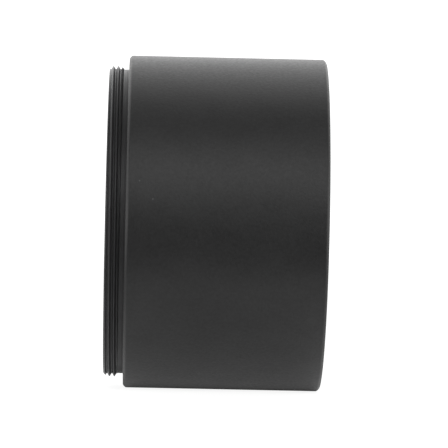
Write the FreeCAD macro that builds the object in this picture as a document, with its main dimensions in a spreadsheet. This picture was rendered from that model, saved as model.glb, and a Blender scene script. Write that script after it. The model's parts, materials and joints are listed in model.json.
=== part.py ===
import FreeCAD, Part
import math
import operator
import os
import types
import Sketcher

# A Barlow lens cell: the screw-on optical section of a two-inch telescope Barlow lens.
# The row frame has its origin on the optical axis, in the plane of the seating shoulder
# behind the rear thread. +X runs forward along the optical axis, from the rear (eyepiece)
# end to the front (telescope) end, and +Z is up with the cell lying on its barrel.
# Every body is drawn in its own frame, from its rear face forward, as (distance along the
# axis, radius), and its Placement sets that rear face at its station on the optical axis.

# Driving dimensions in millimetres, one sheet row each: alias, value, meaning.
SIZES = [
    ("barrel_dia", 50.8, "outer diameter of the barrel"),
    ("barrel_length", 30.0, "barrel, from seating shoulder to front rim"),
    ("edge_chamfer", 0.4, "chamfer on both outer rims of the barrel"),
    ("mouth_chamfer", 0.45, "chamfer at the mouths of the front and rear openings"),
    ("spigot_length", 3.0, "rear threaded spigot, behind the shoulder"),
    ("spigot_chamfer", 0.5, "lead-in chamfer at the spigot's rear end"),
    ("neck_length", 1.1, "thread relief between the thread and the shoulder"),
    ("neck_dia", 46.5, "diameter of the thread relief"),
    ("neck_slope", 0.3, "length of the slope from the crest down to the relief"),
    ("thread_pitch", 0.75, "pitch of both outside threads"),
    ("cutter_overrun", 0.05, "how far a cutting profile stands clear of the surface"),
    ("rear_major", 47.5, "rear thread, major diameter"),
    ("rear_depth", 0.46, "rear thread, depth"),
    ("rear_lead", 0.76, "rear thread cut, start behind the spigot"),
    ("filter_minor", 47.19, "front filter thread, minor diameter"),
    ("filter_depth", 0.43, "front filter thread, depth"),
    ("filter_length", 3.4, "front filter thread, from the rim to its relief"),
    ("filter_lead", 0.75, "front filter thread cut, start ahead of the rim"),
    ("filter_relief_length", 0.9, "relief at the bottom of the filter thread"),
    ("filter_relief_dia", 48.2, "diameter of that relief"),
    ("rear_bore", 43.0, "diameter of the light path behind the glare stop"),
    ("baffle_start", 1.1, "first baffle groove, from the spigot's rear end"),
    ("baffle_pitch", 0.9, "spacing of the baffle grooves"),
    ("baffle_depth", 0.35, "depth of the baffle grooves"),
    ("baffle_width", 0.6, "width of a baffle groove's cutting profile"),
    ("baffle_count", 8, "number of baffle grooves"),
    ("stop_seat", 6.2, "shoulder that the glare stop rests on, from the origin"),
    ("stop_thickness", 0.8, "glare stop thickness"),
    ("stop_aperture", 40.2, "glare stop inner diameter"),
    ("stop_bevel", 0.6, "bevel that thins the glare stop to its edge"),
    ("running_gap", 0.05, "radial gap between parts that turn or slide"),
    ("cell_bore", 45.8, "bore that guides the lens cell"),
    ("cell_gap", 0.05, "axial gap between the glare stop and the cell"),
    ("cell_thread_dia", 46.2, "mean diameter of the cell's screw land in the barrel"),
    ("cell_thread_start", 14.7, "start of that land, from the glare stop's front face"),
    ("cell_length", 18.6, "lens cell, from end to end"),
    ("cell_screw_length", 3.7, "screw land on the lens cell"),
    ("cell_relief_length", 1.0, "relief behind the cell's screw land"),
    ("cell_relief_depth", 0.25, "depth of that relief"),
    ("small_chamfer", 0.3, "chamfers on the cell and the retaining ring"),
    ("cell_notch_width", 2.2, "width of the spanner notches in the cell's front"),
    ("cell_notch_depth", 1.0, "depth of those notches"),
    ("clear_dia", 39.2, "clear aperture through the cell's lip and the rings"),
    ("lip_length", 1.6, "cell lip behind the glass"),
    ("lip_bevel", 0.8, "bevel on the rear of the lip"),
    ("glass_bore", 41.5, "bore that holds the glass"),
    ("glass_dia", 41.2, "diameter of all three elements"),
    ("land_dia", 39.4, "inner diameter of the flat lands on the elements"),
    ("glass_chamfer", 0.2, "protective bevel on the edges of the glass"),
    ("rear_radius", 300.0, "rear surface of the rear element, concave"),
    ("rear_edge", 1.4, "edge thickness of the rear element"),
    ("bond_radius", 75.0, "cemented surfaces of the rear and middle elements"),
    ("bond_gap", 0.02, "cement line between those surfaces"),
    ("middle_edge", 6.5, "edge thickness of the middle element"),
    ("middle_radius", 110.0, "front surface of the middle element, concave"),
    ("spacer_length", 1.5, "spacer ring between the middle and front elements"),
    ("spacer_groove", 0.4, "depth of the light trap round the spacer's inside"),
    ("air_radius", 140.0, "rear surface of the front element, concave"),
    ("front_edge", 4.1, "edge thickness of the front element"),
    ("front_radius", 220.0, "front surface of the front element, concave"),
    ("slip_thickness", 0.5, "slip ring thickness"),
    ("ring_land_dia", 42.3, "mean diameter of the retaining ring's screw land"),
    ("ring_land_start", 15.15, "start of that land, from the cell's rear"),
    ("ring_thickness", 2.0, "retaining ring thickness"),
    ("ring_bevel", 0.7, "bevel on the retaining ring's front"),
    ("ring_slot_width", 1.6, "width of the spanner slots in the retaining ring"),
    ("ring_slot_depth", 1.0, "depth of those slots"),
    ("o_ring_cord", 0.9, "cord diameter of the cell's O-ring"),
    ("o_ring_station", 2.6, "centre plane of the O-ring, from the cell's rear"),
    ("o_ring_groove", 1.3, "width of the O-ring's groove"),
    ("o_ring_floor", 43.8, "floor diameter of the O-ring's groove"),
    ("cushion_cord", 0.5, "cord diameter of the seat cushion"),
    ("cushion_dia", 40.4, "mean diameter of the seat cushion and its groove"),
    ("cushion_groove", 0.56, "width of the cushion's groove"),
    ("cushion_depth", 0.52, "depth of the cushion's groove"),
]
FULL_TURN = 360
HALF_FLANK = math.tan(math.radians(30))  # a 60 degree thread flank, width for depth
GROOVE_SHARE = 7 / 8  # the groove's mouth as a share of the pitch; the rest is the crest
START, END, CENTRE = 1, 2, 3  # Sketcher's names for the points of a line or an arc
ORIGIN, X_AXIS, Y_AXIS = -1, -1, -2  # Sketcher's names for a sketch's own origin and axes


class Size:
    """A length in millimetres, kept together with the sheet formula that it comes from."""

    def __init__(self, value, formula):
        self.value = value
        self.formula = formula

    def __float__(self):
        return float(self.value)

    def combined(self, other, sign, operation):
        formula = f"({self.formula} {sign} {getattr(other, 'formula', other)})"
        return Size(operation(self.value, float(other)), formula)

    def __add__(self, other):
        return self.combined(other, "+", operator.add)

    def __sub__(self, other):
        return self.combined(other, "-", operator.sub)

    def __mul__(self, other):
        return self.combined(other, "*", operator.mul)

    def __truediv__(self, other):
        return self.combined(other, "/", operator.truediv)


size = types.SimpleNamespace(
    **{alias: Size(value, f"Sizes.{alias}") for alias, value, _meaning in SIZES}
)
ZERO = Size(0.0, "0")
CELL_STATION = size.stop_seat + size.stop_thickness + size.cell_gap
SEAT_STATION = CELL_STATION + size.lip_length
MIDDLE_STATION = SEAT_STATION + size.rear_edge + size.bond_gap
SPACER_STATION = MIDDLE_STATION + size.middle_edge
FRONT_STATION = SPACER_STATION + size.spacer_length
SLIP_STATION = FRONT_STATION + size.front_edge
RING_STATION = SLIP_STATION + size.slip_thickness


def make_sheet(doc):
    """Writes the driving dimensions to a spreadsheet, one alias a row."""
    sheet = doc.addObject("Spreadsheet::Sheet", "Sizes")
    for row, (alias, value, meaning) in enumerate(SIZES, start=1):
        sheet.set(f"A{row}", alias)
        sheet.set(f"B{row}", str(value))
        sheet.set(f"C{row}", meaning)
        sheet.setAlias(f"B{row}", alias)
    doc.recompute()


def origin_feature(body, role):
    """One of the body's own origin planes or axes."""
    return next(f for f in body.Origin.OriginFeatures if f.Role == role)


def new_body(doc, label, station):
    """An empty body whose own origin stands at a station on the optical axis."""
    body = doc.addObject("PartDesign::Body", label)
    body.Label = label
    body.setExpression("Placement.Base.x", station.formula)
    return body


def new_sketch(body, name, plane="XY_Plane"):
    sketch = body.newObject("Sketcher::SketchObject", name)
    sketch.AttachmentSupport = [(origin_feature(body, plane), "")]
    sketch.MapMode = "FlatFace"
    return sketch


def constrain(sketch, kind, *where, to):
    """Adds a dimension to the sketch and binds it to the sheet."""
    index = sketch.addConstraint(Sketcher.Constraint(kind, *where, float(to)))
    sketch.setExpression(f"Constraints[{index}]", to.formula)


def locate(sketch, edge, point, along, radius):
    """Fixes a point of an edge at a distance along the axis and a radius from it."""
    for kind, to, axis in (("DistanceX", along, Y_AXIS), ("DistanceY", radius, X_AXIS)):
        if float(to) == 0:
            sketch.addConstraint(Sketcher.Constraint("PointOnObject", edge, point, axis))
        else:
            constrain(sketch, kind, ORIGIN, START, edge, point, to=to)


def join(sketch, first, first_point, second, second_point):
    sketch.addConstraint(
        Sketcher.Constraint("Coincident", first, first_point, second, second_point)
    )


def add_lines(sketch, corners):
    """Straight edges through corners given as pairs of lengths, not yet joined."""
    places = [FreeCAD.Vector(float(x), float(r), 0) for x, r in corners]
    return [sketch.addGeometry(Part.LineSegment(a, b)) for a, b in zip(places, places[1:])]


def draw_outline(sketch, corners):
    """A closed outline of straight edges with every corner located."""
    edges = add_lines(sketch, [*corners, corners[0]])
    for edge, following in zip(edges, edges[1:] + edges[:1]):
        join(sketch, edge, END, following, START)
    for edge, (along, radius) in zip(edges, corners):
        locate(sketch, edge, START, along, radius)


def revolve(body, sketch, name, kind="PartDesign::Revolution"):
    """Turns a sketch a full turn about the optical axis."""
    feature = body.newObject(kind, name)
    feature.Profile = (sketch, [""])
    feature.ReferenceAxis = (origin_feature(body, "X_Axis"), [""])
    feature.Angle = FULL_TURN
    return feature


def turned_body(doc, label, station, corners):
    """A body turned from one outline of straight edges."""
    body = new_body(doc, label, station)
    sketch = new_sketch(body, f"{label}_profile")
    draw_outline(sketch, corners)
    revolve(body, sketch, f"{label}_turned")
    return body


def cut_thread(body, name, start, travel, crest_radius, depth, outward):
    """Cuts a right-hand 60 degree thread. The cutter starts clear of the material at start
    and runs travel along the axis, backwards if travel is negative. outward is +1 where the
    groove goes out into the wall of a hole and -1 where it goes into a shaft."""
    half_mouth = size.thread_pitch * (GROOVE_SHARE / 2)
    half_open = half_mouth + size.cutter_overrun * HALF_FLANK
    half_root = half_mouth - depth * HALF_FLANK
    open_radius = crest_radius - size.cutter_overrun * outward
    root_radius = crest_radius + depth * outward
    sketch = new_sketch(body, f"{name}_cutter")
    draw_outline(
        sketch,
        [
            (start - half_open, open_radius),
            (start - half_root, root_radius),
            (start + half_root, root_radius),
            (start + half_open, open_radius),
        ],
    )
    backwards = float(travel) < 0
    helix = body.newObject("PartDesign::SubtractiveHelix", name)
    helix.Profile = (sketch, [""])
    helix.ReferenceAxis = (origin_feature(body, "X_Axis"), [""])
    helix.Mode = "pitch-height-angle"
    helix.setExpression("Pitch", size.thread_pitch.formula)
    helix.setExpression("Height", f"abs({travel.formula})")
    helix.Reversed = backwards
    helix.LeftHanded = False
    helix.Refine = False  # merging the split helical faces would leave a solid that can't be cut


def cut_slot(body, name, face, width, depth, angle):
    """Cuts one straight slot across the front face, which leaves two opposite notches in a
    ring's rim. angle turns the slot about the axis, from the Y direction."""
    sketch = new_sketch(body, f"{name}_outline", "YZ_Plane")
    sketch.AttachmentOffset.Rotation = FreeCAD.Rotation(FreeCAD.Vector(0, 0, 1), angle)
    sketch.setExpression("AttachmentOffset.Base.z", face.formula)
    half_span = float(size.barrel_dia) / 2
    half_width = float(width) / 2
    edges = add_lines(
        sketch,
        [
            (-half_span, -half_width),
            (half_span, -half_width),
            (half_span, half_width),
            (-half_span, half_width),
            (-half_span, -half_width),
        ],
    )
    directions = ("Horizontal", "Vertical", "Horizontal", "Vertical")
    for edge, following, direction in zip(edges, edges[1:] + edges[:1], directions):
        join(sketch, edge, END, following, START)
        sketch.addConstraint(Sketcher.Constraint(direction, edge))
    first, second, third, _fourth = edges
    sketch.addConstraint(
        Sketcher.Constraint("Symmetric", first, START, third, START, ORIGIN, START)
    )
    constrain(sketch, "DistanceX", first, START, first, END, to=size.barrel_dia)
    constrain(sketch, "DistanceY", second, START, second, END, to=width)
    pocket = body.newObject("PartDesign::Pocket", name)
    pocket.Profile = (sketch, [""])
    pocket.setExpression("Length", depth.formula)


def barrel_outline():
    """The barrel's section: round the outside from the rear mouth, then back inside."""
    front = size.spigot_length + size.barrel_length
    neck_start = size.spigot_length - size.neck_length
    filter_end = front - size.filter_length
    relief_end = filter_end - size.filter_relief_length
    stop_face = size.spigot_length + size.stop_seat
    land_start = stop_face + size.stop_thickness + size.cell_thread_start
    barrel, thread = size.barrel_dia / 2, size.rear_major / 2
    neck, filter_thread = size.neck_dia / 2, size.filter_minor / 2
    rear_bore, cell_bore = size.rear_bore / 2, size.cell_bore / 2
    return [
        (ZERO, rear_bore + size.mouth_chamfer),
        (ZERO, thread - size.spigot_chamfer),
        (size.spigot_chamfer, thread),
        (neck_start, thread),
        (neck_start + size.neck_slope, neck),
        (size.spigot_length, neck),
        (size.spigot_length, barrel - size.edge_chamfer),
        (size.spigot_length + size.edge_chamfer, barrel),
        (front - size.edge_chamfer, barrel),
        (front, barrel - size.edge_chamfer),
        (front, filter_thread + size.mouth_chamfer),
        (front - size.mouth_chamfer, filter_thread),
        (filter_end, filter_thread),
        (filter_end, size.filter_relief_dia / 2),
        (relief_end, size.filter_relief_dia / 2),
        (relief_end, size.cell_thread_dia / 2),
        (land_start, size.cell_thread_dia / 2),
        (land_start, cell_bore),
        (stop_face, cell_bore),
        (stop_face, rear_bore),
        (size.mouth_chamfer, rear_bore),
    ]


def cut_baffles(body):
    """Fine V grooves round the rear bore, which break up stray reflections."""
    sketch = new_sketch(body, "baffle_cutter")
    half_width = size.baffle_width / 2
    bore = size.rear_bore / 2
    draw_outline(
        sketch,
        [
            (size.baffle_start - half_width, bore - size.cutter_overrun),
            (size.baffle_start, bore + size.baffle_depth),
            (size.baffle_start + half_width, bore - size.cutter_overrun),
        ],
    )
    groove = revolve(body, sketch, "baffle_groove", "PartDesign::Groove")
    pattern = body.newObject("PartDesign::LinearPattern", "baffle_grooves")
    pattern.Originals = [groove]
    pattern.Direction = (origin_feature(body, "X_Axis"), [""])
    pattern.Mode = "Spacing"
    pattern.setExpression("Offset", size.baffle_pitch.formula)
    pattern.setExpression("Occurrences", size.baffle_count.formula)
    body.Tip = pattern


def make_barrel(doc):
    """Outer housing, with the rear screw thread, the front filter thread and the cell's bore."""
    body = turned_body(doc, "barrel", ZERO - size.spigot_length, barrel_outline())
    cut_baffles(body)
    cut_thread(
        body,
        "rear_thread",
        start=ZERO - size.rear_lead,
        travel=size.rear_lead + size.spigot_length - size.neck_length / 2,
        crest_radius=size.rear_major / 2,
        depth=size.rear_depth,
        outward=-1,
    )
    relief_middle = size.filter_length + size.filter_relief_length / 2
    cut_thread(
        body,
        "filter_thread",
        start=size.spigot_length + size.barrel_length + size.filter_lead,
        travel=ZERO - size.filter_lead - relief_middle,
        crest_radius=size.filter_minor / 2,
        depth=size.filter_depth,
        outward=1,
    )


def make_glare_stop(doc):
    """Thin ring with a bevelled inner edge, between the barrel's shoulder and the cell."""
    outer = size.cell_bore / 2 - size.running_gap
    inner = size.stop_aperture / 2
    corners = [
        (ZERO, inner + size.stop_bevel),
        (ZERO, outer),
        (size.stop_thickness, outer),
        (size.stop_thickness, inner),
        (size.stop_bevel, inner),
    ]
    turned_body(doc, "glare_stop", size.stop_seat, corners)


def cell_outline():
    """The lens cell's section: round the outside from the lip, then back inside."""
    outer = size.cell_bore / 2 - size.running_gap
    screw = size.cell_thread_dia / 2 - size.running_gap
    relief = outer - size.cell_relief_depth
    screw_start = size.cell_length - size.cell_screw_length
    relief_start = screw_start - size.cell_relief_length
    o_ring_rear = size.o_ring_station - size.o_ring_groove / 2
    o_ring_front = size.o_ring_station + size.o_ring_groove / 2
    cushion_inner = size.cushion_dia / 2 - size.cushion_groove / 2
    cushion_outer = size.cushion_dia / 2 + size.cushion_groove / 2
    cushion_floor = size.lip_length - size.cushion_depth
    ring_land, clear = size.ring_land_dia / 2, size.clear_dia / 2
    return [
        (ZERO, clear + size.lip_bevel),
        (ZERO, outer - size.small_chamfer),
        (size.small_chamfer, outer),
        (o_ring_rear, outer),
        (o_ring_rear, size.o_ring_floor / 2),
        (o_ring_front, size.o_ring_floor / 2),
        (o_ring_front, outer),
        (relief_start, outer),
        (relief_start, relief),
        (screw_start, relief),
        (screw_start, screw),
        (size.cell_length - size.small_chamfer, screw),
        (size.cell_length, screw - size.small_chamfer),
        (size.cell_length, ring_land + size.small_chamfer),
        (size.cell_length - size.small_chamfer, ring_land),
        (size.ring_land_start, ring_land),
        (size.ring_land_start, size.glass_bore / 2),
        (size.lip_length, size.glass_bore / 2),
        (size.lip_length, cushion_outer),
        (cushion_floor, cushion_outer),
        (cushion_floor, cushion_inner),
        (size.lip_length, cushion_inner),
        (size.lip_length, clear),
        (size.lip_bevel, clear),
    ]


def make_lens_cell(doc):
    """Inner sleeve that holds the glass and screws into the barrel from the front."""
    body = turned_body(doc, "lens_cell", CELL_STATION, cell_outline())
    cut_slot(
        body,
        "spanner_notches",
        face=size.cell_length,
        width=size.cell_notch_width,
        depth=size.cell_notch_depth,
        angle=0,
    )


def add_surface(sketch, rim, radius, centre_side):
    """A spherical surface of the glass, from its rim in to the axis. centre_side is +1 where
    the sphere's centre lies ahead of the rim and -1 where it lies behind. Returns the arc,
    the names of its rim and vertex points, and the vertex itself."""
    rim_x, rim_r = (float(length) for length in rim)
    centre_x = rim_x + centre_side * math.sqrt(float(radius) ** 2 - rim_r**2)
    rim_angle = math.atan2(rim_r, rim_x - centre_x)
    ahead = centre_side > 0
    span = (rim_angle, math.pi) if ahead else (0, rim_angle)
    rim_point, vertex_point = (START, END) if ahead else (END, START)
    centre = FreeCAD.Vector(centre_x, 0, 0)
    circle = Part.Circle(centre, FreeCAD.Vector(0, 0, 1), float(radius))
    arc = sketch.addGeometry(Part.ArcOfCircle(circle, *span))
    sketch.addConstraint(Sketcher.Constraint("PointOnObject", arc, CENTRE, X_AXIS))
    sketch.addConstraint(Sketcher.Constraint("PointOnObject", arc, vertex_point, X_AXIS))
    constrain(sketch, "Radius", arc, to=radius)
    locate(sketch, arc, rim_point, *rim)
    vertex = (centre_x - centre_side * float(radius), 0)
    return arc, rim_point, vertex_point, vertex


def lens_body(doc, label, station, rear, front, edge_corners):
    """A glass element. rear and front are its surfaces, each (rim, radius, centre_side), and
    edge_corners are the corners of its ground edge between the two rims."""
    body = new_body(doc, label, station)
    sketch = new_sketch(body, f"{label}_profile")
    rear_arc, rear_rim, rear_vertex, rear_middle = add_surface(sketch, *rear)
    front_arc, front_rim, front_vertex, front_middle = add_surface(sketch, *front)
    edges = add_lines(sketch, [rear[0], *edge_corners, front[0]])
    (axis,) = add_lines(sketch, [front_middle, rear_middle])
    join(sketch, edges[0], START, rear_arc, rear_rim)
    for edge, following, corner in zip(edges, edges[1:], edge_corners):
        join(sketch, edge, END, following, START)
        locate(sketch, following, START, *corner)
    join(sketch, edges[-1], END, front_arc, front_rim)
    join(sketch, axis, START, front_arc, front_vertex)
    join(sketch, axis, END, rear_arc, rear_vertex)
    revolve(body, sketch, f"{label}_turned")


def make_optics(doc):
    """The negative group: a cemented pair behind an air-spaced element, and their spacer."""
    rim, land = size.glass_dia / 2, size.land_dia / 2
    bevel = rim - size.glass_chamfer
    lens_body(
        doc,
        "rear_element",
        SEAT_STATION,
        rear=((ZERO, land), size.rear_radius, -1),
        front=((size.rear_edge, rim), size.bond_radius, -1),
        edge_corners=[(ZERO, bevel), (size.glass_chamfer, rim)],
    )
    lens_body(
        doc,
        "middle_element",
        MIDDLE_STATION,
        rear=((ZERO, rim), size.bond_radius, -1),
        front=((size.middle_edge, land), size.middle_radius, 1),
        edge_corners=[
            (size.middle_edge - size.glass_chamfer, rim),
            (size.middle_edge, bevel),
        ],
    )
    lens_body(
        doc,
        "front_element",
        FRONT_STATION,
        rear=((ZERO, land), size.air_radius, -1),
        front=((size.front_edge, land), size.front_radius, 1),
        edge_corners=[
            (ZERO, bevel),
            (size.glass_chamfer, rim),
            (size.front_edge - size.glass_chamfer, rim),
            (size.front_edge, bevel),
        ],
    )
    groove_middle = size.spacer_length / 2
    corners = [
        (ZERO, land),
        (ZERO, rim),
        (size.spacer_length, rim),
        (size.spacer_length, land),
        (groove_middle + size.spacer_groove, land),
        (groove_middle, land + size.spacer_groove),
        (groove_middle - size.spacer_groove, land),
    ]
    turned_body(doc, "spacer_ring", SPACER_STATION, corners)


def make_slip_ring(doc):
    """Flat ring between the glass and the retaining ring."""
    inner, outer = size.clear_dia / 2, size.glass_dia / 2
    corners = [
        (ZERO, inner),
        (ZERO, outer),
        (size.slip_thickness, outer),
        (size.slip_thickness, inner),
    ]
    turned_body(doc, "slip_ring", SLIP_STATION, corners)


def make_retaining_ring(doc):
    """Screwed ring with two spanner slots, which holds the glass in the cell."""
    inner = size.clear_dia / 2
    outer = size.ring_land_dia / 2 - size.running_gap
    corners = [
        (ZERO, inner),
        (ZERO, outer - size.small_chamfer),
        (size.small_chamfer, outer),
        (size.ring_thickness - size.small_chamfer, outer),
        (size.ring_thickness, outer - size.small_chamfer),
        (size.ring_thickness, inner + size.ring_bevel),
        (size.ring_thickness - size.ring_bevel, inner),
    ]
    body = turned_body(doc, "retaining_ring", RING_STATION, corners)
    cut_slot(
        body,
        "spanner_slots",
        face=size.ring_thickness,
        width=size.ring_slot_width,
        depth=size.ring_slot_depth,
        angle=90,
    )


def make_cord_ring(doc, label, station, mean_radius, cord):
    """A rubber ring of round cord, with its centre plane at the station."""
    body = new_body(doc, label, station)
    sketch = new_sketch(body, f"{label}_section")
    centre = FreeCAD.Vector(0, float(mean_radius), 0)
    circle = Part.Circle(centre, FreeCAD.Vector(0, 0, 1), float(cord) / 2)
    section = sketch.addGeometry(circle)
    locate(sketch, section, CENTRE, ZERO, mean_radius)
    constrain(sketch, "Radius", section, to=cord / 2)
    revolve(body, sketch, f"{label}_turned")


def make_rubber(doc):
    """The O-ring that steadies the cell in its bore, and the cushion in the glass's seat."""
    make_cord_ring(
        doc,
        "cell_o_ring",
        CELL_STATION + size.o_ring_station,
        size.o_ring_floor / 2 + size.o_ring_cord / 2 + size.running_gap / 2,
        size.o_ring_cord,
    )
    make_cord_ring(
        doc,
        "seat_cushion",
        SEAT_STATION - size.cushion_cord / 2,
        size.cushion_dia / 2,
        size.cushion_cord,
    )


def check_and_export(doc):
    """Stops on anything that failed, then writes each sub-part's STEP file."""
    failed = [item.Name for item in doc.Objects if {"Invalid", "Error"} & set(item.State)]
    if failed:
        raise RuntimeError(f"these objects failed to recompute: {failed}")
    bodies = [item for item in doc.Objects if item.TypeId == "PartDesign::Body"]
    for body in bodies:
        if body.Shape.isNull() or not body.Shape.isValid():
            raise RuntimeError(f"{body.Label} has no valid shape")
    os.makedirs("parts", exist_ok=True)
    for body in bodies:
        body.Shape.exportStep(os.path.join("parts", f"{body.Label}.step"))
        print(f"{body.Label}: {body.Shape.Volume:.1f} cubic mm, {len(body.Shape.Faces)} faces")


def main():
    doc = FreeCAD.newDocument("barlow_cell")
    make_sheet(doc)
    make_barrel(doc)
    make_glare_stop(doc)
    make_lens_cell(doc)
    make_optics(doc)
    make_slip_ring(doc)
    make_retaining_ring(doc)
    make_rubber(doc)
    doc.recompute()
    check_and_export(doc)


main()
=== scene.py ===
import json
import math
import bmesh
import bpy
import numpy as np
from mathutils import Matrix, Vector


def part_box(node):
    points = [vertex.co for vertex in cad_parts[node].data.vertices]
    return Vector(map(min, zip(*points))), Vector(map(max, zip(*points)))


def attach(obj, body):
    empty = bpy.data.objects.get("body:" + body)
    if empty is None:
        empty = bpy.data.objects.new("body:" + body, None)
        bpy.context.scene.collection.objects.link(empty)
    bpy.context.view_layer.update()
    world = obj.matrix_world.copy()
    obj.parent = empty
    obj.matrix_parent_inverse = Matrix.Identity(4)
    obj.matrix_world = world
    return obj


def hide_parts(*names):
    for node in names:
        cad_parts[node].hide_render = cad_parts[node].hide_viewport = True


# The looks of a Barlow lens cell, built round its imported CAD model. The optical axis is the
# X axis, with the rear thread towards -X and the front of the barrel towards +X. Outlines
# are drawn in millimetres, as (distance along the axis, radius), and everything else is in
# metres.

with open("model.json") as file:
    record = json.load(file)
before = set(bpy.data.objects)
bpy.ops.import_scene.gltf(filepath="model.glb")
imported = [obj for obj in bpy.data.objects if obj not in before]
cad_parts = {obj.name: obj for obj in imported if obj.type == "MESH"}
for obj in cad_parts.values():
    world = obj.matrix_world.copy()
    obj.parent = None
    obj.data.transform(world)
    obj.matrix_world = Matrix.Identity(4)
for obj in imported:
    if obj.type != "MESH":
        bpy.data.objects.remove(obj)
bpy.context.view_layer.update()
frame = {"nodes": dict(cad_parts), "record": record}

MM = 0.001
FULL_TURN = 2 * math.pi
COLUMNS = 256  # steps round a turned piece
WELD = 1e-7  # points closer than this are one point
SHARP_ANGLE = math.radians(38)  # edges that turn more than this are shaded sharp
ARC_STEP = math.radians(13)  # about how far a rounded corner turns from point to point


def millimetres(node):
    """A CAD node's rear end, front end and outer radius, in millimetres."""
    low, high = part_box(node)
    return low.x / MM, high.x / MM, high.y / MM


def mount_radius(name):
    """The radius in millimetres that the record gives for one of the part's mounts."""
    (mount,) = [m for m in frame["record"]["mounts"] if m["name"] == name]
    return mount["dims"]["r_mm"]


REAR, FRONT, BARREL = millimetres("barrel")


# ---------------------------------------------------------------- meshes


def soften(corners):
    """Points along a line of corners (x, radius, rounding), with each corner that has a
    rounding replaced by an arc of that radius."""
    points = []
    for index, (x, r, rounding) in enumerate(corners):
        if not rounding:
            points.append((x, r))
            continue
        corner = Vector((x, r))
        back = (Vector(corners[index - 1][:2]) - corner).normalized()
        ahead = (Vector(corners[index + 1][:2]) - corner).normalized()
        half = back.angle(ahead) / 2
        centre = corner + (back + ahead).normalized() * (rounding / math.sin(half))
        first = corner + back * (rounding / math.tan(half)) - centre
        painted_end_glow = first.angle_signed(corner + ahead * (rounding / math.tan(half)) - centre)
        steps = max(3, round(abs(painted_end_glow) / ARC_STEP))
        for step in range(steps + 1):
            turned = Matrix.Rotation(-painted_end_glow * step / steps, 2) @ first
            points.append(tuple(centre + turned))
    return points


def turned_piece(name, outline, closed=True, finishes=None):
    """A mesh turned about the optical axis. outline(angle) gives the section's points at
    that angle, always as many. finishes gives each stretch between two points its material
    slot number."""
    rows = len(outline(0))
    stretches = rows if closed else rows - 1
    points = []
    for column in range(COLUMNS + 1):
        angle = FULL_TURN * column / COLUMNS
        across, up = math.cos(angle), math.sin(angle)
        points += [(x * MM, r * MM * across, r * MM * up) for x, r in outline(angle)]
    faces = []
    for column in range(COLUMNS):
        here, there = column * rows, (column + 1) * rows
        for row in range(stretches):
            following = (row + 1) % rows
            faces.append((here + row, here + following, there + following, there + row))
    mesh = bpy.data.meshes.new(name)
    mesh.from_pydata(points, [], faces)
    if finishes:
        mesh.polygons.foreach_set("material_index", finishes * COLUMNS)
    welded = bmesh.new()
    welded.from_mesh(mesh)
    bmesh.ops.remove_doubles(welded, verts=welded.verts, dist=WELD)
    bmesh.ops.recalc_face_normals(welded, faces=welded.faces)
    welded.to_mesh(mesh)
    welded.free()
    mesh.shade_smooth()
    mesh.set_sharp_from_angle(angle=SHARP_ANGLE)
    piece = bpy.data.objects.new(name, mesh)
    bpy.context.scene.collection.objects.link(piece)
    shading = piece.modifiers.new("weighted_normals", "WEIGHTED_NORMAL")
    shading.keep_sharp = True
    return piece


# ---------------------------------------------------------------- barrel

BLASTED, TURNED = 0, 1  # the barrel's material slots

# Both threads, and where the middle of a groove lies at angle 0.
PITCH = 0.75
FLANK_SLOPE = math.tan(math.radians(30))
HALF_MOUTH = PITCH * 7 / 16  # half the width of a groove, at the crests
FLANK_STEPS = 3
REAR_DEPTH, REAR_GROOVE = 0.46, REAR - 0.76
FILTER_DEPTH, FILTER_GROOVE = 0.43, FRONT + 0.75

# Places and lengths along the axis.
SHOULDER = 0.0
NECK_REAR, NECK_SLOPE = -1.1, 0.3
FILTER_REAR = FRONT - 3.4
RELIEF_REAR = FILTER_REAR - 0.9
STOP_SEAT, STOP_FRONT = millimetres("glare_stop")[:2]
CELL_SCREW_REAR = STOP_FRONT + 14.7

# Radii.
SPIGOT = mount_radius("male_thread")
FILTER = mount_radius("filter_thread")
NECK = 23.25
FILTER_RELIEF = 24.1
CELL_SCREW = 23.1
CELL_BORE = 22.9
REAR_BORE = 21.5

# Chamfers and rounded corners.
LEAD_IN = 0.5  # at the rear of the spigot
EDGE, EDGE_ROUNDING = 0.4, 0.35  # on the outer rims
MOUTH = 0.45  # at the mouths
NECK_ROUNDING = 0.06

# The rear bore's anti-reflection grooves.
BAFFLES = 8
FIRST_BAFFLE = REAR + 1.1
BAFFLE_PITCH = 0.9
BAFFLE_DEPTH, BAFFLE_HALF_WIDTH = 0.35, 0.2625


def thread_rows(angle, limits, groove, crest, depth, outward):
    """The section of a right-hand thread at an angle. limits are the points (x, radius) of
    the plain surface that it is cut in, groove is the middle of a groove at angle 0, and
    outward is +1 in a hole and -1 on a shaft."""
    places, radii = zip(*limits)
    half_root = HALF_MOUTH - depth * FLANK_SLOPE
    span = HALF_MOUTH - half_root
    flank = [half_root + span * step / FLANK_STEPS for step in range(FLANK_STEPS + 1)]
    offsets = [-offset for offset in flank] + [0.0] + flank + [PITCH / 2]
    first = groove + PITCH * math.floor((places[0] - groove) / PITCH - 2)
    turns = range(math.ceil((places[-1] - places[0]) / PITCH) + 4)
    starts = [first + PITCH * turn + offset for turn in turns for offset in offsets]
    starts = [start for start in starts if places[0] - PITCH <= start <= places[-1]]
    lead = PITCH * angle / FULL_TURN
    rows = [min(max(start + lead, places[0]), places[-1]) for start in starts]
    section = []
    for x in sorted([*rows, *places]):
        off_centre = abs((x - groove - lead + PITCH / 2) % PITCH - PITCH / 2)
        cut = min(max((HALF_MOUTH - off_centre) / FLANK_SLOPE, 0), depth)
        plain = float(np.interp(x, places, radii))
        section.append((x, outward * max(outward * plain, outward * (crest + outward * cut))))
    return section


def spigot_plain():
    """The rear spigot before its thread is cut: lead-in chamfer, crest and neck."""
    return [
        (REAR, SPIGOT - LEAD_IN),
        (REAR + LEAD_IN, SPIGOT),
        (NECK_REAR, SPIGOT),
        (NECK_REAR + NECK_SLOPE, NECK),
    ]


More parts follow.
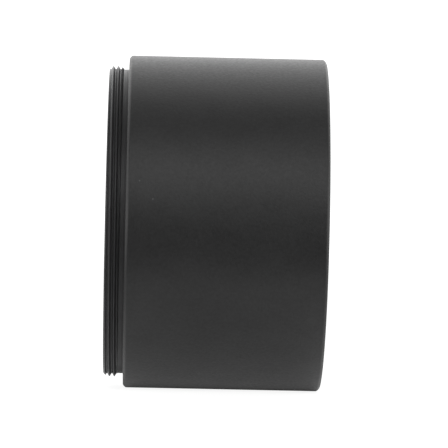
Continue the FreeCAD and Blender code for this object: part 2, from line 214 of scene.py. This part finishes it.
def filter_plain():
    """The front mouth before its thread is cut."""
    return [(FILTER_REAR, FILTER), (FRONT - MOUTH, FILTER), (FRONT, FILTER + MOUTH)]


def outside():
    """The shoulder, the outside and the front rim, with rounded corners. The two end points
    only give the first and last corners their directions."""
    corners = [
        (NECK_REAR + NECK_SLOPE, NECK, 0),
        (SHOULDER, NECK, NECK_ROUNDING),
        (SHOULDER, BARREL - EDGE, EDGE_ROUNDING),
        (SHOULDER + EDGE, BARREL, EDGE_ROUNDING),
        (FRONT - EDGE, BARREL, EDGE_ROUNDING),
        (FRONT, BARREL - EDGE, EDGE_ROUNDING),
        (FRONT, FILTER + MOUTH, 0),
    ]
    return soften(corners)[1:-1]


def baffles():
    """The V grooves of the rear bore, from the front."""
    points = []
    for groove in reversed(range(BAFFLES)):
        middle = FIRST_BAFFLE + BAFFLE_PITCH * groove
        points.append((middle + BAFFLE_HALF_WIDTH, REAR_BORE))
        points.append((middle, REAR_BORE + BAFFLE_DEPTH))
        points.append((middle - BAFFLE_HALF_WIDTH, REAR_BORE))
    return points


def inside():
    """The filter thread's relief, the seats of the lens cell and the glare stop, and the
    rear bore, from the front."""
    return [
        (FILTER_REAR, FILTER_RELIEF),
        (RELIEF_REAR, FILTER_RELIEF),
        (RELIEF_REAR, CELL_SCREW),
        (CELL_SCREW_REAR, CELL_SCREW),
        (CELL_SCREW_REAR, CELL_BORE),
        (STOP_SEAT, CELL_BORE),
        (STOP_SEAT, REAR_BORE),
        *baffles(),
        (REAR + MOUTH, REAR_BORE),
        (REAR, REAR_BORE + MOUTH),
    ]


def barrel_stretches(angle):
    """The barrel's section at an angle: the rear thread and its neck, the outside, the
    filter thread and the inside."""
    rear = thread_rows(angle, spigot_plain(), REAR_GROOVE, SPIGOT, REAR_DEPTH, -1)
    front = thread_rows(angle, filter_plain(), FILTER_GROOVE, FILTER, FILTER_DEPTH, 1)
    return [rear, outside(), front[::-1], inside()]


def make_barrel(materials):
    """The barrel, with blasted outside surfaces and turned threads and bores. The threads and
    bores are a lighter grey, partly their own turned finish and partly a painted sheen.
    """
    finishes = []
    for points, finish in zip(barrel_stretches(0), (TURNED, BLASTED, TURNED, TURNED)):
        finishes += [finish] * len(points)
    barrel = turned_piece(
        "barrel_shell", lambda angle: sum(barrel_stretches(angle), []), finishes=finishes
    )
    for material in materials:
        barrel.data.materials.append(material)
    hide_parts("barrel")
    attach(barrel, "barrel")


# ---------------------------------------------------------------- glass

POLISHED, GROUND, CEMENTED = 0, 1, 2  # the elements' material slots
GLASS = 20.6  # the elements' outer radius
LAND = 19.7  # radius of the curved part of a surface
BEVEL = 0.2  # bevels on the elements' edges
REAR_EDGE = 1.4  # edge thickness of the rear element
CURVE_STEPS = 24

# The surfaces' radii of curvature, from the rear.
REAR_CURVE, BOND_CURVE, MIDDLE_CURVE, AIR_CURVE, FRONT_CURVE = 300, 75, 110, 140, 220


def surface(rim_x, rim_r, radius, side):
    """Points of a spherical surface from the axis to its rim. side is +1 where the sphere's
    centre lies ahead of the surface and -1 where it lies behind."""
    centre = rim_x + side * math.sqrt(radius**2 - rim_r**2)
    radii = [rim_r * step / CURVE_STEPS for step in range(CURVE_STEPS + 1)]
    return [(centre - side * math.sqrt(radius**2 - r**2), r) for r in radii]


def make_element(name, rear, front, edge, rear_finish, front_finish, materials):
    """A lens, with its two surfaces and the points of the ground edge between them."""
    points = [*rear, *edge, *reversed(front)]
    finishes = [rear_finish] * (len(rear) - 1) + [GROUND] * (len(edge) + 1)
    finishes += [front_finish] * (len(front) - 1)
    piece = turned_piece(f"{name}_glass", lambda angle: points, closed=False, finishes=finishes)
    for material in materials:
        piece.data.materials.append(material)
    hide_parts(name)
    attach(piece, "lens_cell")


def make_optics(materials):
    """The cemented pair and the front element, where the CAD elements are."""
    seat = millimetres("rear_element")[0]
    middle_rim = millimetres("middle_element")[0]
    middle_front = millimetres("spacer_ring")[0]
    air, front = millimetres("front_element")[:2]
    bond_rim = seat + REAR_EDGE
    make_element(
        "rear_element",
        surface(seat, LAND, REAR_CURVE, -1),
        surface(bond_rim, GLASS, BOND_CURVE, -1),
        [(seat, GLASS - BEVEL), (seat + BEVEL, GLASS)],
        POLISHED,
        CEMENTED,
        materials,
    )
    make_element(
        "middle_element",
        surface(middle_rim, GLASS, BOND_CURVE, -1),
        surface(middle_front, LAND, MIDDLE_CURVE, 1),
        [(middle_front - BEVEL, GLASS), (middle_front, GLASS - BEVEL)],
        CEMENTED,
        POLISHED,
        materials,
    )
    make_element(
        "front_element",
        surface(air, LAND, AIR_CURVE, -1),
        surface(front, LAND, FRONT_CURVE, 1),
        [
            (air, GLASS - BEVEL),
            (air + BEVEL, GLASS),
            (front - BEVEL, GLASS),
            (front, GLASS - BEVEL),
        ],
        POLISHED,
        POLISHED,
        materials,
    )


# ---------------------------------------------------------------- materials


def node(tree, kind, inputs=None, **settings):
    """Adds a shader node. An input is linked where it is given a socket, and set otherwise."""
    made = tree.nodes.new(f"ShaderNode{kind}")
    for name, value in settings.items():
        setattr(made, name, value)
    for name, value in (inputs or {}).items():
        if isinstance(value, bpy.types.NodeSocket):
            tree.links.new(value, made.inputs[name])
        else:
            made.inputs[name].default_value = value
    return made


def grey(level):
    """A neutral colour with the slight coolness of black anodising."""
    return (level, level, level * 1.02, 1)


def calculate(tree, operation, first, second=0.0):
    """The result of a Math node."""
    return node(tree, "Math", {0: first, 1: second}, operation=operation).outputs[0]


def remap(tree, value, low, high, to_low, to_high):
    """A value carried from one range to another, and held inside it."""
    limits = {1: low, 2: high, 3: to_low, 4: to_high}
    return node(tree, "MapRange", {0: value, **limits}).outputs[0]


def mix(tree, factor, first, second):
    """A colour between two colours."""
    return node(tree, "Mix", {0: factor, 6: first, 7: second}, data_type="RGBA").outputs[2]


def noise(tree, place, scale, detail=2.0):
    """Cloudy noise whose features are about 1 / scale metres across."""
    return node(tree, "TexNoise", {"Vector": place, "Scale": scale, "Detail": detail}).outputs[0]


def specks(tree, place, scale, share):
    """1 on a few small round specks, and 0 elsewhere. share is the share of cells with one."""
    cells = node(tree, "TexVoronoi", {"Vector": place, "Scale": scale}).outputs
    dot = remap(tree, cells["Distance"], 0.04, 0.09, 1, 0)
    pick = node(tree, "SeparateColor", {0: cells["Color"]}).outputs[0]
    chosen = calculate(tree, "GREATER_THAN", pick, 1 - share)
    return calculate(tree, "MULTIPLY", dot, chosen)


def turning_lines(tree, place, scale):
    """Uneven rings left by a lathe tool, on end faces and round walls alike."""
    parts = node(tree, "SeparateXYZ", {0: place}).outputs
    across = node(tree, "CombineXYZ", {1: parts[1], 2: parts[2]}).outputs[0]
    radius = node(tree, "VectorMath", {0: across}, operation="LENGTH").outputs["Value"]
    along = calculate(tree, "ADD", parts[0], radius)
    inputs = {"W": along, "Scale": scale, "Detail": 2.0}
    return node(tree, "TexNoise", inputs, noise_dimensions="1D").outputs[0]


def surface_material(name, colour, roughness, relief, height, **sockets):
    """A Principled material. colour(tree, place), roughness(tree, place) and
    relief(tree, place) make its patterns, and height is the relief's depth in metres."""
    material = bpy.data.materials.new(name)
    material.use_nodes = True
    tree = material.node_tree
    shader = tree.nodes["Principled BSDF"]
    place = node(tree, "TexCoord").outputs["Object"]
    bump = node(tree, "Bump", {"Height": relief(tree, place), "Distance": height})
    tree.links.new(colour(tree, place), shader.inputs["Base Color"])
    tree.links.new(roughness(tree, place), shader.inputs["Roughness"])
    tree.links.new(bump.outputs[0], shader.inputs["Normal"])
    for socket, value in sockets.items():
        shader.inputs[socket.replace("_", " ")].default_value = value
    return material


def blasted_black():
    """Bead-blasted, matt black anodised aluminium: an even grain with a few pale specks."""

    def colour(tree, place):
        dye = remap(tree, noise(tree, place, 220, 4), 0.3, 0.7, 0, 0.4)
        grain = remap(tree, noise(tree, place, 2200, 2), 0.3, 0.7, 0, 0.6)
        body = mix(tree, calculate(tree, "ADD", dye, grain), grey(0.006), grey(0.014))
        return mix(tree, specks(tree, place, 500, 0.05), body, grey(0.045))

    def roughness(tree, place):
        return remap(tree, noise(tree, place, 2500, 3), 0.3, 0.7, 0.4, 0.5)

    def relief(tree, place):
        return noise(tree, place, 2600, 3)

    return surface_material(
        "blasted_black", colour, roughness, relief, 0.00002, Specular_IOR_Level=0.4
    )


def turned_black(name, level, depth):
    """Black anodising of a grey level over the rings of a lathe tool, which are depth deep."""

    def colour(tree, place):
        dye = remap(tree, noise(tree, place, 300, 3), 0.3, 0.7, 0, 1)
        return mix(tree, dye, grey(level), grey(level + 0.006))

    def roughness(tree, place):
        return remap(tree, turning_lines(tree, place, 9000), 0.3, 0.7, 0.36, 0.5)

    def relief(tree, place):
        return turning_lines(tree, place, 9000)

    return surface_material(name, colour, roughness, relief, depth, Specular_IOR_Level=0.33)


def nitrile():
    """Matt black rubber with a slightly dusty, uneven skin."""

    def colour(tree, place):
        dust = remap(tree, noise(tree, place, 1500, 4), 0.4, 0.75, 0, 1)
        return mix(tree, dust, grey(0.012), grey(0.028))

    def roughness(tree, place):
        return remap(tree, noise(tree, place, 900, 2), 0.3, 0.7, 0.6, 0.75)

    def relief(tree, place):
        return noise(tree, place, 7000, 3)

    return surface_material("nitrile", colour, roughness, relief, 0.000008)


def acetal():
    """Black acetal with a waxy sheen and fine turning lines."""

    def colour(tree, place):
        shade = remap(tree, noise(tree, place, 400, 2), 0.3, 0.7, 0, 1)
        return mix(tree, shade, grey(0.018), grey(0.026))

    def roughness(tree, place):
        return remap(tree, turning_lines(tree, place, 12000), 0.3, 0.7, 0.3, 0.42)

    def relief(tree, place):
        return turning_lines(tree, place, 12000)

    return surface_material("acetal", colour, roughness, relief, 0.000006)


def edge_paint():
    """Matt black paint on the ground edge of a lens."""

    def colour(tree, place):
        brush = remap(tree, noise(tree, place, 700, 3), 0.3, 0.7, 0, 1)
        return mix(tree, brush, grey(0.006), grey(0.014))

    def roughness(tree, place):
        return remap(tree, noise(tree, place, 1200, 2), 0.3, 0.7, 0.55, 0.8)

    def relief(tree, place):
        return noise(tree, place, 3000, 3)

    return surface_material("edge_paint", colour, roughness, relief, 0.000004)


def coated_glass():
    """Clear glass with an anti-reflection coating, whose faint reflection is green."""
    material = bpy.data.materials.new("coated_glass")
    material.use_nodes = True
    tree = material.node_tree
    place = node(tree, "TexCoord").outputs["Object"]
    shader = tree.nodes["Principled BSDF"]
    polish = remap(tree, noise(tree, place, 90, 2), 0.3, 0.7, 0.0, 0.012)
    tree.links.new(polish, shader.inputs["Roughness"])
    shader.inputs["Base Color"].default_value = (0.97, 0.99, 0.975, 1)
    shader.inputs["Transmission Weight"].default_value = 1.0
    shader.inputs["IOR"].default_value = 1.52
    shader.inputs["Specular IOR Level"].default_value = 0.15
    shader.inputs["Specular Tint"].default_value = (0.6, 1.0, 0.75, 1)
    return material


def cement():
    """The bonded faces of a cemented pair, which light crosses without bending."""
    material = bpy.data.materials.new("cement")
    material.use_nodes = True
    tree = material.node_tree
    tree.nodes.remove(tree.nodes["Principled BSDF"])
    clear = node(tree, "BsdfTransparent", {"Color": (0.99, 0.99, 0.985, 1)})
    tree.links.new(clear.outputs[0], tree.nodes["Material Output"].inputs["Surface"])
    return material


def finish_node(name, material):
    """Gives a CAD node that is shown as it is a material."""
    mesh = frame["nodes"][name].data
    mesh.materials.clear()
    mesh.materials.append(material)


# ---------------------------------------------------------------- studio


def directly_seen(tree):
    """1 where the camera sees a thing itself or through glass, and 0 in reflections."""
    path = node(tree, "LightPath").outputs
    return calculate(tree, "MAXIMUM", path["Is Camera Ray"], path["Is Transmission Ray"])


# The studio tent round the optical axis: how bright it is at each angle up from the side
# that the camera is on, in degrees, over the top and down to the horizon behind.
TENT = [(0, 0.0), (15, 0.5), (30, 2.4), (45, 1.9), (60, 0.35), (75, 0.03), (90, 0.6)]
TENT += [(105, 1.28), (120, 1.71), (135, 1.86), (150, 2.24), (165, 2.0), (180, 1.0)]
TENT_PEAK = 2.4
TENT_ENDS = (2.2, 0.5)  # low down, and high up
BACKDROP = (1.3, 1.3, 1.3, 1)


def make_sky():
    """A white studio: the backdrop is plain white, and what the object reflects is a tent
    with a softbox above the camera, a bright back and evenly lit ends."""
    world = bpy.data.worlds.new("studio")
    bpy.context.scene.world = world
    world.use_nodes = True
    tree = world.node_tree
    way = node(tree, "SeparateXYZ", {0: node(tree, "TexCoord").outputs["Generated"]}).outputs
    towards = calculate(tree, "MULTIPLY", way[1], -1.0)
    angle = calculate(tree, "ARCTAN2", way[2], towards)
    share = calculate(tree, "DIVIDE", angle, math.pi)
    tent = node(tree, "ValToRGB", {0: share})
    stops = tent.color_ramp.elements
    stops[1].position = 1.0
    for degrees, _brightness in TENT[1:-1]:
        stops.new(degrees / 180)
    for stop, (_degrees, brightness) in zip(stops, TENT):
        stop.color = (brightness / TENT_PEAK,) * 3 + (1,)
    round_axis = calculate(tree, "MULTIPLY", tent.outputs[0], TENT_PEAK)
    endwards = remap(tree, calculate(tree, "ABSOLUTE", way[0]), 0.5, 0.85, 0, 1)
    ends = remap(tree, way[2], 0.25, 0.5, *TENT_ENDS)
    light = mix(tree, endwards, round_axis, ends)
    shown = mix(tree, directly_seen(tree), light, BACKDROP)
    tree.links.new(shown, tree.nodes["Background"].inputs["Color"])


def make_floor():
    """A white card under the object, on a pale floor. The camera sees it glow up to plain
    white, as a white backdrop is. Reflections see the card fade to a dark floor away from the
    object, a painted pool of light glowing round the object with a painted contact shadow along
    the contact line, and a painted glow that rises to the tent's bright ends."""
    half, height = 2.0, -BARREL * MM
    square = [(-half, -half, height), (half, -half, height), (half, half, height)]
    mesh = bpy.data.meshes.new("floor")
    mesh.from_pydata([*square, (-half, half, height)], [], [(0, 1, 2, 3)])
    floor = bpy.data.objects.new("floor", mesh)
    bpy.context.scene.collection.objects.link(floor)
    material = bpy.data.materials.new("floor")
    material.use_nodes = True
    tree = material.node_tree
    tree.nodes.remove(tree.nodes["Principled BSDF"])
    place = node(tree, "NewGeometry").outputs["Position"]
    middle = (FRONT * MM / 2, 0, height)
    away = node(tree, "VectorMath", {0: place, 1: middle}, operation="DISTANCE").outputs["Value"]
    card = remap(tree, away, 0.045, 0.075, 0.85, 0.15)
    # Painted light: a pool of glow on the floor round the object, seen only in reflections.
    painted_glow_pool = remap(tree, away, 0.020, 0.065, 0.37, 0)
    # The pool fades to nothing along the contact line: a painted contact shadow.
    parts = node(tree, "SeparateXYZ", {0: place}).outputs
    aside = calculate(tree, "ABSOLUTE", parts[1])
    painted_glow_pool = calculate(tree, "MULTIPLY", painted_glow_pool, remap(tree, aside, 0.0005, 0.006, 0, 1))
    # Painted light: the floor glows brighter towards both ends, seen only in reflections.
    along = calculate(tree, "ABSOLUTE", parts[0])
    painted_end_glow = remap(tree, calculate(tree, "DIVIDE", -height, along), 0.02, 0.4, 2.0, 0)
    seen = directly_seen(tree)
    colour = mix(tree, seen, card, (0.2, 0.2, 0.2, 1))
    glow = mix(tree, seen, calculate(tree, "ADD", painted_glow_pool, painted_end_glow), (0.9, 0.9, 0.9, 1))
    matt = node(tree, "BsdfDiffuse", {"Color": colour})
    light = node(tree, "Emission", {"Color": glow})
    both = node(tree, "AddShader", {0: matt.outputs[0], 1: light.outputs[0]})
    tree.links.new(both.outputs[0], tree.nodes["Material Output"].inputs["Surface"])
    mesh.materials.append(material)


def make_camera():
    """The photograph's camera: level with the axis, a little right of the shoulder."""
    distance, aside, above = 0.5492, 0.00414, 0.00040
    yaw, roll, dip = math.radians(1.129), math.radians(1.237), math.radians(0.05)
    data = bpy.data.cameras.new("camera")
    data.lens = 287.9
    data.sensor_width = 36
    camera = bpy.data.objects.new("camera", data)
    bpy.context.scene.collection.objects.link(camera)
    level = Matrix.Rotation(math.radians(90) - dip, 4, "X")
    aim = Matrix.Rotation(-yaw, 4, "Z") @ level @ Matrix.Rotation(roll, 4, "Z")
    camera.matrix_world = Matrix.Translation((aside, -distance, above)) @ aim
    bpy.context.scene.camera = camera


# ---------------------------------------------------------------- assembly


def main():
    turned = turned_black("turned_black", 0.008, 0.00001)
    glass = [coated_glass(), edge_paint(), cement()]
    # The threads, neck and bores get three times the grey of the other turned parts: partly a
    # lighter turned finish, partly a painted sheen for light that the lathe rings spread along
    # the axis.
    make_barrel([blasted_black(), turned_black("threaded_black", 0.024, 0.00005)])
    make_optics(glass)
    for name in ("glare_stop", "lens_cell", "spacer_ring", "retaining_ring"):
        finish_node(name, turned)
    rubber = nitrile()
    for name in ("cell_o_ring", "seat_cushion"):
        finish_node(name, rubber)
    finish_node("slip_ring", acetal())
    make_sky()
    make_floor()
    make_camera()
    bpy.context.scene.view_settings.view_transform = "Standard"


main()
